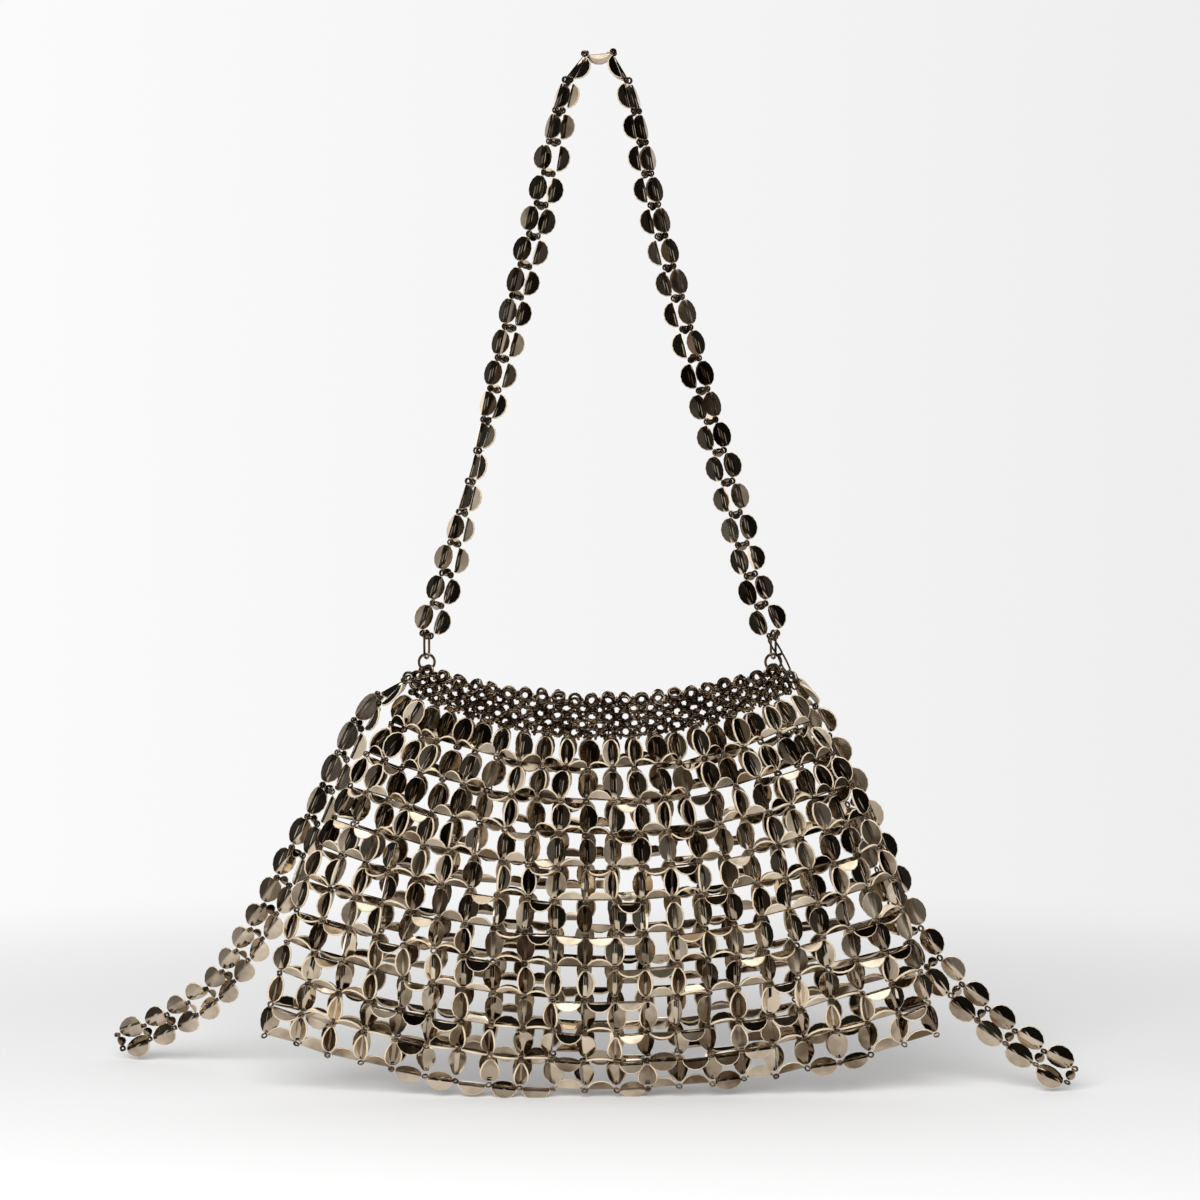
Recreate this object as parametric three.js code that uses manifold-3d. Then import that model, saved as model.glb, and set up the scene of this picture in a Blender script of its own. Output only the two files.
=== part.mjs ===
// Metal mesh purse: a pouch of folded discs under a ring-mesh band, with a ladder-chain strap and two tails.
// Millimetres, +Z up, the front faces -Y, and the origin is the point that the strap hangs from.
import * as THREE from "three";
import { mergeVertices } from "three/addons/utils/BufferGeometryUtils.js";
import Module from "manifold-3d";

const wasm = await Module();
wasm.setup();

// Clearance between neighbouring pieces
const seatGap = 0.3;

// Ladder chain of the strap and the tails: two rails of folded discs, joined by rungs. The rails of the
// strap are drawn together by its pull.
const discDiameter = 9.6;
const discThickness = 0.9;
const discFold = THREE.MathUtils.degToRad(52);
const discSides = 10;
const chainPitch = 12.4;
const strapSpacing = 7.0;
const tailSpacing = 9.0;
const neckWidth = 1.0;
const rungWaist = 1.0;
// What a rung spreads on each side from its waist to the edge of the wire that it sits in
const rungSpread = 0.25;

// Band of ring mesh round the mouth
const bandDrop = 231.5;
const bandTopWidth = 139.4;
const bandBottomWidth = 146;
const bandDepth = 24;
const bandHeight = 15.1;
const bandEndHeight = 9.5;
const bandTopSag = 11.4;
const bandWall = 2.6;
const scallopCount = 22;
const scallopHeight = 1.9;

// Net of the pouch, a front and a back panel that meet along the sides and the hem
const netHeight = 138;
const netDepth = 40;
const hemWidth = 260;
const hemSag = 21.7;
const netWall = 1.4;
const netColumns = 10;
const netRows = 6;
const ribWidth = 4.8;
const ribFold = 3;

// Wire links and the eyes that they hold
const wireDiameter = 1.0;
const eyeWire = 1.4;
const linkLength = 11.6;
const linkWidth = 4.8;
const strapEyeDiameter = 7.4;
const strapEyeInset = 3.7;
const tailEyeDiameter = 6.6;
// What the flat facets of a small ring stand inside its round
const ringFacet = 0.12;

// Reach of a tail from its eye, sideways and to the back, and how high its end's middle line rests
// over the lowest point of the hem
const tailReach = 123.6;
const tailBack = 80;
const tailRest = 7.4;

// Rise of the strap's middle line over the origin
const strapRise = 4.1;

// Pouch from the band down to the hem, in even steps: how far it has widened from the band to the hem,
// how much of the band's depth it keeps and how much of its own it has
const pouchSections = [
  { widened: 0, bandShare: 1, bulge: 0 },
  { widened: 0.33, bandShare: 0.75, bulge: 0.28 },
  { widened: 0.57, bandShare: 0.45, bulge: 0.66 },
  { widened: 0.76, bandShare: 0.15, bulge: 0.9 },
  { widened: 0.89, bandShare: 0, bulge: 0.84 },
  { widened: 1, bandShare: 0, bulge: 0 },
];

// Route of the strap from its left end over the top to its right end, as shares of its half span and its
// height. Facing 0 turns the ridges of the discs to the front, and 90 turns them outwards.
const strapRoute = [
  { across: -1, down: 1, facing: 0 },
  { across: -0.952, down: 0.957, facing: 0 },
  { across: -0.9, down: 0.911, facing: 5 },
  { across: -0.848, down: 0.853, facing: 25 },
  { across: -0.796, down: 0.793, facing: 45 },
  { across: -0.727, down: 0.715, facing: 62 },
  { across: -0.693, down: 0.669, facing: 70 },
  { across: -0.646, down: 0.622, facing: 48 },
  { across: -0.6, down: 0.571, facing: 22 },
  { across: -0.554, down: 0.515, facing: 20 },
  { across: -0.462, down: 0.402, facing: 12 },
  { across: -0.364, down: 0.299, facing: 0 },
  { across: -0.283, down: 0.19, facing: 5 },
  { across: -0.254, down: 0.135, facing: 32 },
  { across: -0.214, down: 0.083, facing: 42 },
  { across: -0.139, down: 0.028, facing: 62 },
  { across: 0, down: 0, facing: 90 },
  { across: 0.104, down: 0.018, facing: 82 },
  { across: 0.173, down: 0.071, facing: 62 },
  { across: 0.225, down: 0.129, facing: 52 },
  { across: 0.277, down: 0.219, facing: 42 },
  { across: 0.364, down: 0.333, facing: 32 },
  { across: 0.473, down: 0.452, facing: 28 },
  { across: 0.577, down: 0.564, facing: 22 },
  { across: 0.675, down: 0.673, facing: 12 },
  { across: 0.768, down: 0.775, facing: 0 },
  { across: 0.848, down: 0.878, facing: 0 },
  { across: 0.918, down: 0.941, facing: 0 },
  { across: 1, down: 1, facing: 0 },
];

// Routes of the tails from their eyes to the floor, as shares of their reach, back and drop
const tailLeftRoute = [
  { out: 0, back: 0, down: 0, facing: 90 },
  { out: 0.083, back: 0.037, down: 0.046, facing: 62 },
  { out: 0.151, back: 0.094, down: 0.111, facing: 45 },
  { out: 0.196, back: 0.119, down: 0.182, facing: 42 },
  { out: 0.241, back: 0.138, down: 0.259, facing: 42 },
  { out: 0.282, back: 0.15, down: 0.33, facing: 42 },
  { out: 0.324, back: 0.169, down: 0.402, facing: 32 },
  { out: 0.373, back: 0.2, down: 0.48, facing: 22 },
  { out: 0.418, back: 0.25, down: 0.557, facing: 12 },
  { out: 0.476, back: 0.338, down: 0.643, facing: 8 },
  { out: 0.54, back: 0.45, down: 0.72, facing: 5 },
  { out: 0.612, back: 0.575, down: 0.8, facing: 3 },
  { out: 0.695, back: 0.7, down: 0.866, facing: 0 },
  { out: 0.793, back: 0.825, down: 0.921, facing: 0 },
  { out: 0.896, back: 0.925, down: 0.966, facing: 0 },
  { out: 1.001, back: 1, down: 1, facing: 0 },
];
const tailRightRoute = [
  { out: 0, back: 0, down: 0, facing: -90 },
  { out: 0.04, back: 0.056, down: 0.047, facing: -62 },
  { out: 0.074, back: 0.1, down: 0.111, facing: -40 },
  { out: 0.112, back: 0.125, down: 0.18, facing: -28 },
  { out: 0.159, back: 0.131, down: 0.256, facing: -22 },
  { out: 0.203, back: 0.131, down: 0.327, facing: -18 },
  { out: 0.24, back: 0.131, down: 0.398, facing: -14 },
  { out: 0.287, back: 0.131, down: 0.479, facing: -8 },
  { out: 0.324, back: 0.131, down: 0.555, facing: -4 },
  { out: 0.371, back: 0.125, down: 0.631, facing: 0 },
  { out: 0.42, back: 0.125, down: 0.697, facing: 0 },
  { out: 0.483, back: 0.125, down: 0.766, facing: 0 },
  { out: 0.564, back: 0.125, down: 0.831, facing: 0 },
  { out: 0.657, back: 0.125, down: 0.897, facing: 0 },
  { out: 0.76, back: 0.125, down: 0.957, facing: 0 },
  { out: 0.869, back: 0.125, down: 1.008, facing: 0 },
];

const discMetal = { color: 0xcdb89a, roughness: 0.18, metalness: 1 };
const wireMetal = { color: 0xb79c78, roughness: 0.25, metalness: 1 };

// Rounding across the band and the net: full depth in the middle, none at the side edges
const sideFullness = 0.75;

function roundness(across) {
  return Math.pow(Math.max(0, 1 - across * across), sideFullness);
}

function mix(start, end, share) {
  return start + (end - start) * share;
}

// A closed solid from a sheet of polygons: an outer and an inner skin, with walls along every free edge
function sheetSolid(outer, inner, polygons) {
  const corners = [...outer, ...inner];
  const triangles = [];
  const edges = new Map();
  for (const polygon of polygons) {
    polygon.forEach((from, index) => {
      const to = polygon[(index + 1) % polygon.length];
      edges.set(`${from} ${to}`, [from, to]);
    });
    for (let index = 1; index < polygon.length - 1; index += 1) {
      const [a, b, c] = [polygon[0], polygon[index], polygon[index + 1]];
      triangles.push(a, b, c);
      triangles.push(a + outer.length, c + outer.length, b + outer.length);
    }
  }
  for (const [from, to] of edges.values()) {
    if (edges.has(`${to} ${from}`)) continue;
    triangles.push(to, from, from + outer.length);
    triangles.push(to, from + outer.length, to + outer.length);
  }
  const geometry = new THREE.BufferGeometry();
  geometry.setFromPoints(corners);
  geometry.setIndex(triangles);
  geometry.computeVertexNormals();
  return geometry;
}

function pieceMesh(name, geometry, metal) {
  const mesh = new THREE.Mesh(geometry, new THREE.MeshStandardMaterial(metal));
  mesh.name = name;
  return mesh;
}

// Heights of the band's edges, which sag towards the middle
function bandTopZ(across) {
  return -bandDrop - bandTopSag * (1 - across * across);
}

function bandBottomZ(across) {
  const middle = -bandDrop - bandTopSag - bandHeight;
  const end = -bandDrop - bandEndHeight;
  return mix(middle, end, across * across);
}

function bandCorner(across, side, down, lift, wall) {
  const halfWidth = mix(bandTopWidth, bandBottomWidth, down) / 2;
  const x = across * (halfWidth - wall);
  const y = side * roundness(across) * (bandDepth / 2 - wall);
  return new THREE.Vector3(x, y, mix(bandTopZ(across), bandBottomZ(across), down) + lift);
}

// Closed loop of the band with a scalloped upper edge, going along the front and back along the rear
function bandSheet() {
  const stepsPerScallop = 2;
  const stepsPerSide = scallopCount * stepsPerScallop;
  const outer = [];
  const inner = [];
  const polygons = [];
  const total = 2 * stepsPerSide;
  for (let step = 0; step < total; step += 1) {
    const onFront = step < stepsPerSide;
    const along = (onFront ? step : total - step) / stepsPerSide;
    const across = 2 * along - 1;
    const side = onFront ? -1 : 1;
    const lift = step % stepsPerScallop === 0 ? 0 : scallopHeight;
    outer.push(bandCorner(across, side, 0, lift, 0), bandCorner(across, side, 1, 0, 0));
    inner.push(bandCorner(across, side, 0, lift, bandWall), bandCorner(across, side, 1, 0, bandWall));
    const next = (step + 1) % total;
    polygons.push([2 * step, 2 * step + 1, 2 * next + 1, 2 * next]);
  }
  return sheetSolid(outer, inner, polygons);
}

// Oval ring of round wire in the XZ plane, drawn out along Z between two half rounds
function wireRing(width, length, wire) {
  const wireSides = 6;
  const ringSides = 10;
  const ring = new THREE.TorusGeometry((width - wire) / 2, wire / 2, wireSides, ringSides);
  ring.rotateX(Math.PI / 2);
  // The points level with the ring's middle stay where they are
  const level = wire / 100;
  const stretch = (length - width) / 2;
  const position = ring.attributes.position;
  for (let index = 0; index < position.count; index += 1) {
    const z = position.getZ(index);
    if (Math.abs(z) > level) position.setZ(index, z + Math.sign(z) * stretch);
  }
  return ring;
}

// Corners closer than this are one corner
const mergeDistance = 1e-4;

function toManifold(geometry) {
  const bare = geometry.clone();
  bare.deleteAttribute("normal");
  bare.deleteAttribute("uv");
  const merged = mergeVertices(bare, mergeDistance);
  const mesh = new wasm.Mesh({
    numProp: 3,
    vertProperties: new Float32Array(merged.attributes.position.array),
    triVerts: new Uint32Array(merged.index.array),
  });
  return new wasm.Manifold(mesh);
}

function fromManifold(solid) {
  const mesh = solid.getMesh();
  const geometry = new THREE.BufferGeometry();
  geometry.setAttribute("position", new THREE.BufferAttribute(new Float32Array(mesh.vertProperties), 3));
  geometry.setIndex(new THREE.BufferAttribute(new Uint32Array(mesh.triVerts), 1));
  geometry.computeVertexNormals();
  return geometry;
}

// Centres of the eyes: two stand on the band's upper edge for the strap, two on its ends for the tails
const strapEyeAcross = 1 - (2 * strapEyeInset) / bandTopWidth;
const strapEyeX = strapEyeAcross * (bandTopWidth / 2);
const strapEyeZ = bandTopZ(strapEyeAcross) + strapEyeDiameter / 2 - eyeWire;
const tailEyeX = (bandTopWidth + bandBottomWidth) / 4 + tailEyeDiameter / 2 - eyeWire;
const tailEyeZ = -bandDrop - bandEndHeight / 2;

function meshBand() {
  let band = toManifold(bandSheet());
  for (const side of [-1, 1]) {
    const strapEye = wireRing(strapEyeDiameter, strapEyeDiameter, eyeWire);
    strapEye.translate(side * strapEyeX, 0, strapEyeZ);
    const tailEye = wireRing(tailEyeDiameter, tailEyeDiameter, eyeWire);
    tailEye.translate(side * tailEyeX, 0, tailEyeZ);
    band = band.add(toManifold(strapEye)).add(toManifold(tailEye));
  }
  return fromManifold(band);
}

// A value of the pouch table at a share of the way down, eased between its rows
function pouchValue(column, down) {
  const points = pouchSections.map((row, index) => new THREE.Vector2(index, row[column]));
  return new THREE.SplineCurve(points).getPoint(down).y;
}

// A point of the net's outer skin: across runs from -1 to 1, down from 0 at the band to 1 at the hem
function netPoint(side, across, down) {
  const widened = pouchValue("widened", down);
  const halfWidth = mix(bandBottomWidth, hemWidth, widened) / 2;
  const ownDepth = netDepth * pouchValue("bulge", down);
  const halfDepth = (bandDepth * pouchValue("bandShare", down) + ownDepth) / 2;
  const top = bandBottomZ(across) - seatGap;
  const middleHem = bandBottomZ(0) - netHeight;
  const hem = middleHem + hemSag * across * across;
  const y = side * (seatGap / 2 + roundness(across) * Math.max(0, halfDepth - seatGap / 2));
  return new THREE.Vector3(across * halfWidth, y, mix(top, hem, down));
}

// The net is a sheet of ribs, each folded along its middle with the ridge outwards, round square gaps
function netPanel(side) {
  const outer = [];
  const inner = [];
  const polygons = [];
  const put = (point, inwards, wall) => {
    const away = side * point.y;
    const room = Math.min(1, (away - seatGap / 2) / (inwards + wall));
    outer.push(new THREE.Vector3(point.x, point.y - side * inwards * room, point.z));
    inner.push(new THREE.Vector3(point.x, point.y - side * (inwards + wall) * room, point.z));
    return outer.length - 1;
  };
  const ridge = [];
  for (let row = 0; row <= netRows; row += 1) {
    for (let column = 0; column <= netColumns; column += 1) {
      const across = (2 * column) / netColumns - 1;
      const down = row / netRows;
      const point = netPoint(side, across, down);
      const index = put(point, 0, netWall);
      const onSide = column === 0 || column === netColumns;
      if (onSide || row === netRows) {
        const insetAcross = onSide ? across * (1 - (2 * netWall) / hemWidth) : across;
        const insetDown = row === netRows ? 1 - netWall / netHeight : down;
        const inset = netPoint(side, insetAcross, insetDown);
        inner[index].set(inset.x, point.y, inset.z);
      }
      ridge.push(index);
    }
  }
  for (let row = 0; row < netRows; row += 1) {
    for (let column = 0; column < netColumns; column += 1) {
      const cell = [[0, 0], [1, 0], [1, 1], [0, 1]];
      const corners = cell.map(([right, below]) => ridge[(row + below) * (netColumns + 1) + column + right]);
      const cellWidth = outer[corners[0]].distanceTo(outer[corners[1]]);
      const cellHeight = outer[corners[0]].distanceTo(outer[corners[3]]);
      const hole = cell.map(([right, below]) => {
        const insetRight = mix(ribWidth / 2 / cellWidth, 1 - ribWidth / 2 / cellWidth, right);
        const insetBelow = mix(ribWidth / 2 / cellHeight, 1 - ribWidth / 2 / cellHeight, below);
        const across = (2 * (column + insetRight)) / netColumns - 1;
        return put(netPoint(side, across, (row + insetBelow) / netRows), ribFold, netWall);
      });
      for (let edge = 0; edge < 4; edge += 1) {
        const next = (edge + 1) % 4;
        const strip = [corners[edge], hole[edge], hole[next], corners[next]];
        polygons.push(side < 0 ? strip : strip.reverse());
      }
    }
  }
  return sheetSolid(outer, inner, polygons);
}

// Stations at even steps along a route of points, each with its place, run, ridge and width directions
function chainStations(points, facings) {
  const curve = new THREE.CatmullRomCurve3(points);
  const count = Math.round(curve.getLength() / chainPitch);
  const stations = [];
  for (let index = 0; index <= count; index += 1) {
    const share = index / count;
    const place = curve.getPointAt(share);
    const run = curve.getTangentAt(share);
    const row = curve.getUtoTmapping(share) * (points.length - 1);
    const low = Math.min(Math.floor(row), points.length - 2);
    const facing = THREE.MathUtils.degToRad(mix(facings[low], facings[low + 1], row - low));
    const outwards = new THREE.Vector3().crossVectors(run, new THREE.Vector3(0, 1, 0)).normalize();
    const front = new THREE.Vector3().crossVectors(run, outwards).normalize();
    const ridge = outwards.multiplyScalar(Math.sin(facing)).addScaledVector(front, Math.cos(facing));
    const width = new THREE.Vector3().crossVectors(ridge, run);
    stations.push({ place, run, ridge, width });
  }
  return stations;
}

// Half of the neck that joins two discs of a rail
const neckReach = (chainPitch - discDiameter) / 2;

// Ladder chain along its stations, as one sheet: necks and rungs at the stations, folded discs between them
function ladderChain(stations, railSpacing, startReach, endReach) {
  const outer = [];
  const inner = [];
  const polygons = [];
  const put = (station, along, across, rise) => {
    const point = station.place.clone();
    point.addScaledVector(station.run, along);
    point.addScaledVector(station.width, across);
    point.addScaledVector(station.ridge, rise);
    outer.push(point.clone().addScaledVector(station.ridge, discThickness / 2));
    inner.push(point.addScaledVector(station.ridge, -discThickness / 2));
    return outer.length - 1;
  };
  // Necks of both rails, and the rung with its narrow waist between them
  const necks = stations.map((station, index) => {
    const before = index === 0 ? startReach : neckReach;
    const after = index === stations.length - 1 ? endReach : neckReach;
    const rails = [-1, 1].map((rail) => {
      const middle = (rail * railSpacing) / 2;
      const low = middle - neckWidth / 2;
      const high = middle + neckWidth / 2;
      return {
        startLow: put(station, -before, low, 0),
        endLow: put(station, after, low, 0),
        endHigh: put(station, after, high, 0),
        startHigh: put(station, -before, high, 0),
      };
    });
    const waistStart = put(station, -Math.min(before, rungWaist / 2), 0, 0);
    const waistEnd = put(station, Math.min(after, rungWaist / 2), 0, 0);
    const [left, right] = rails;
    rails.forEach((neck) => polygons.push([neck.startLow, neck.endLow, neck.endHigh, neck.startHigh]));
    polygons.push([left.startHigh, left.endHigh, waistEnd, waistStart]);
    polygons.push([waistStart, waistEnd, right.endLow, right.startLow]);
    return rails;
  });
  // Folded discs from each station to the next
  const rimCount = discSides / 2 - 1;
  for (let index = 0; index < stations.length - 1; index += 1) {
    for (const [railIndex, rail] of [-1, 1].entries()) {
      const from = necks[index][railIndex];
      const to = necks[index + 1][railIndex];
      const start = outer[from.endLow].clone().add(inner[from.endHigh]).multiplyScalar(0.5);
      const end = outer[to.startLow].clone().add(inner[to.startHigh]).multiplyScalar(0.5);
      const run = end.clone().sub(start);
      const halfLength = run.length() / 2;
      run.normalize();
      const ridge = stations[index].ridge.clone().add(stations[index + 1].ridge);
      ridge.addScaledVector(run, -ridge.dot(run)).normalize();
      const width = new THREE.Vector3().crossVectors(ridge, run);
      const disc = { place: start.add(end).multiplyScalar(0.5), run, ridge, width };
      const rim = (side) => {
        const points = [];
        for (let step = 1; step <= rimCount; step += 1) {
          const angle = (2 * Math.PI * step) / discSides;
          const reach = (Math.sin(angle) * discDiameter) / 2;
          const across = side * (neckWidth / 2 + reach * Math.cos(discFold));
          points.push(put(disc, -Math.cos(angle) * halfLength, across, -reach * Math.sin(discFold)));
        }
        return points;
      };
      polygons.push([from.endLow, to.startLow, to.startHigh, from.endHigh]);
      polygons.push([from.endHigh, to.startHigh, ...rim(1).reverse()]);
      polygons.push([to.startLow, from.endLow, ...rim(-1)]);
    }
  }
  return sheetSolid(outer, inner, polygons);
}

// The links hang between the strap's end rungs and the band's upper eyes, each pulled tight in its seat
const linkSeat = strapEyeZ + strapEyeDiameter / 2 - eyeWire - seatGap - ringFacet;
const linkCentreZ = linkSeat - wireDiameter + linkLength / 2;
const strapSeat = linkCentreZ + linkLength / 2 - wireDiameter - seatGap;
const strapEndZ = strapSeat - rungWaist / 2 - rungSpread;

function wireLink(side) {
  const link = wireRing(linkWidth, linkLength, wireDiameter);
  link.rotateZ(Math.PI / 2);
  link.translate(side * strapEyeX, 0, linkCentreZ);
  return link;
}

function strapPoint({ across, down }) {
  return new THREE.Vector3(across * strapEyeX, 0, mix(strapRise, strapEndZ, down));
}

// A tail's end rung sits in the lower outer part of its eye, on the slope that the tail leaves at
const tailPlay = tailEyeDiameter / 2 - eyeWire - seatGap - rungWaist / 2 - rungSpread;
const tailSeat = tailPlay * Math.SQRT1_2;
const tailStartZ = tailEyeZ - tailSeat;
const tailEndZ = bandBottomZ(0) - netHeight + tailRest;

function tailPoint(side, { out, back, down }) {
  const x = side * (tailEyeX + tailSeat + out * tailReach);
  return new THREE.Vector3(x, back * tailBack, mix(tailStartZ, tailEndZ, down));
}

const strapStations = chainStations(strapRoute.map(strapPoint), strapRoute.map((row) => row.facing));
const heights = strapStations.map((station) => station.place.z);
const topStation = heights.indexOf(Math.max(...heights));
const leftRows = [...tailLeftRoute].reverse();
const tailLeftStations = chainStations(
  leftRows.map((row) => tailPoint(-1, row)),
  leftRows.map((row) => row.facing),
);
const tailRightStations = chainStations(
  tailRightRoute.map((row) => tailPoint(1, row)),
  tailRightRoute.map((row) => row.facing),
);
const strapLeft = ladderChain(strapStations.slice(0, topStation + 1), strapSpacing, neckReach, -seatGap / 2);
const strapRight = ladderChain(strapStations.slice(topStation), strapSpacing, -seatGap / 2, neckReach);
const tailLeft = ladderChain(tailLeftStations, tailSpacing, neckReach, neckReach);
const tailRight = ladderChain(tailRightStations, tailSpacing, neckReach, neckReach);

const group = new THREE.Group();
group.add(pieceMesh("net_front", netPanel(-1), discMetal));
group.add(pieceMesh("net_back", netPanel(1), discMetal));
group.add(pieceMesh("mesh_band", meshBand(), wireMetal));
group.add(pieceMesh("strap_left", strapLeft, discMetal));
group.add(pieceMesh("strap_right", strapRight, discMetal));
group.add(pieceMesh("tail_left", tailLeft, discMetal));
group.add(pieceMesh("tail_right", tailRight, discMetal));
group.add(pieceMesh("link_left", wireLink(-1), wireMetal));
group.add(pieceMesh("link_right", wireLink(1), wireMetal));

export default group;
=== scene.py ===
import math
import random

import bmesh
import bpy
from mathutils import Matrix, Vector


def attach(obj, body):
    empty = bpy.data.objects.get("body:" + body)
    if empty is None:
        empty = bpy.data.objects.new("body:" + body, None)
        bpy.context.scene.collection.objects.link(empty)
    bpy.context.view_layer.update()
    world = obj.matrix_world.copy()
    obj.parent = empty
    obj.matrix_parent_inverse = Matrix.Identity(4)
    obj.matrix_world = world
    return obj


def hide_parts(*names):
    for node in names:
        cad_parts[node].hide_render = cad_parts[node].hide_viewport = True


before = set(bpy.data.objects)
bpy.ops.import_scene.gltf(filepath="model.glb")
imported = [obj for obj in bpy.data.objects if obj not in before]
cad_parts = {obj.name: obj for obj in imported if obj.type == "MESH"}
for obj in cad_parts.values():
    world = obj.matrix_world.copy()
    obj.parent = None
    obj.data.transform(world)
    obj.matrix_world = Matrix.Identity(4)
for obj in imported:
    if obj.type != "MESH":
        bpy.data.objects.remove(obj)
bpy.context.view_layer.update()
mm = 0.001
up, front, right = Vector((0, 0, 1)), Vector((0, -1, 0)), Vector((1, 0, 0))

# Metal mesh purse: a net pouch of folded discs, a ring-mesh band, a ladder-chain strap and two tails.
# Every solid is replaced by its fine form, and all of it rides on the one body.
studio = {                           # the camera stands level with the middle of the purse
    "distance": 990 * mm,
    "height": -206.8 * mm,
    "viewAngle": math.radians(26),
    "sensorWidth": 36.0,
}

camera = bpy.data.objects.new("camera", bpy.data.cameras.new("camera"))
camera.data.sensor_width = studio["sensorWidth"]
camera.data.lens = studio["sensorWidth"] / 2 / math.tan(studio["viewAngle"] / 2)
camera.location = (0, -studio["distance"], studio["height"])
camera.rotation_euler = (math.radians(90), 0, 0)
bpy.context.scene.collection.objects.link(camera)
bpy.context.scene.camera = camera
bpy.context.scene.view_settings.view_transform = "Standard"


# Shader groups

def newGroup(name, inputs, outputs):
    tree = bpy.data.node_groups.new(name, "ShaderNodeTree")
    for socketName, kind, value in inputs:
        socket = tree.interface.new_socket(socketName, in_out="INPUT", socket_type=kind)
        socket.default_value = value
    for socketName, kind in outputs:
        tree.interface.new_socket(socketName, in_out="OUTPUT", socket_type=kind)
    return tree


def addNode(tree, kind, values=None, **settings):
    node = tree.nodes.new(kind)
    for key, value in settings.items():
        setattr(node, key, value)
    for key, value in (values or {}).items():
        if hasattr(value, "is_output"):
            tree.links.new(value, node.inputs[key])
        else:
            node.inputs[key].default_value = value
    return node


# Value that eases from low to high between two places
def eased(tree, value, start, end, low=0.0, high=1.0):
    return addNode(tree, "ShaderNodeMapRange", {
        "Value": value, "From Min": start, "From Max": end, "To Min": low, "To Max": high,
    }, interpolation_type="SMOOTHSTEP").outputs["Result"]


wearAndRimSheen = {
    "cloudLow": 0.42,                # part of the noise that tarnish clouds start and end at
    "cloudHigh": 0.68,
    "dullest": 0.55,
    "dullRoughness": 0.14,
    "scratchStretch": 0.12,          # scratches run up and down
    "scratchRoughness": 0.06,
    "scratchHeight": 0.01,
    # the rims are made less metallic so that they take a painted highlight from the soft light
    "rimMetal": 0.4,
}


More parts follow.
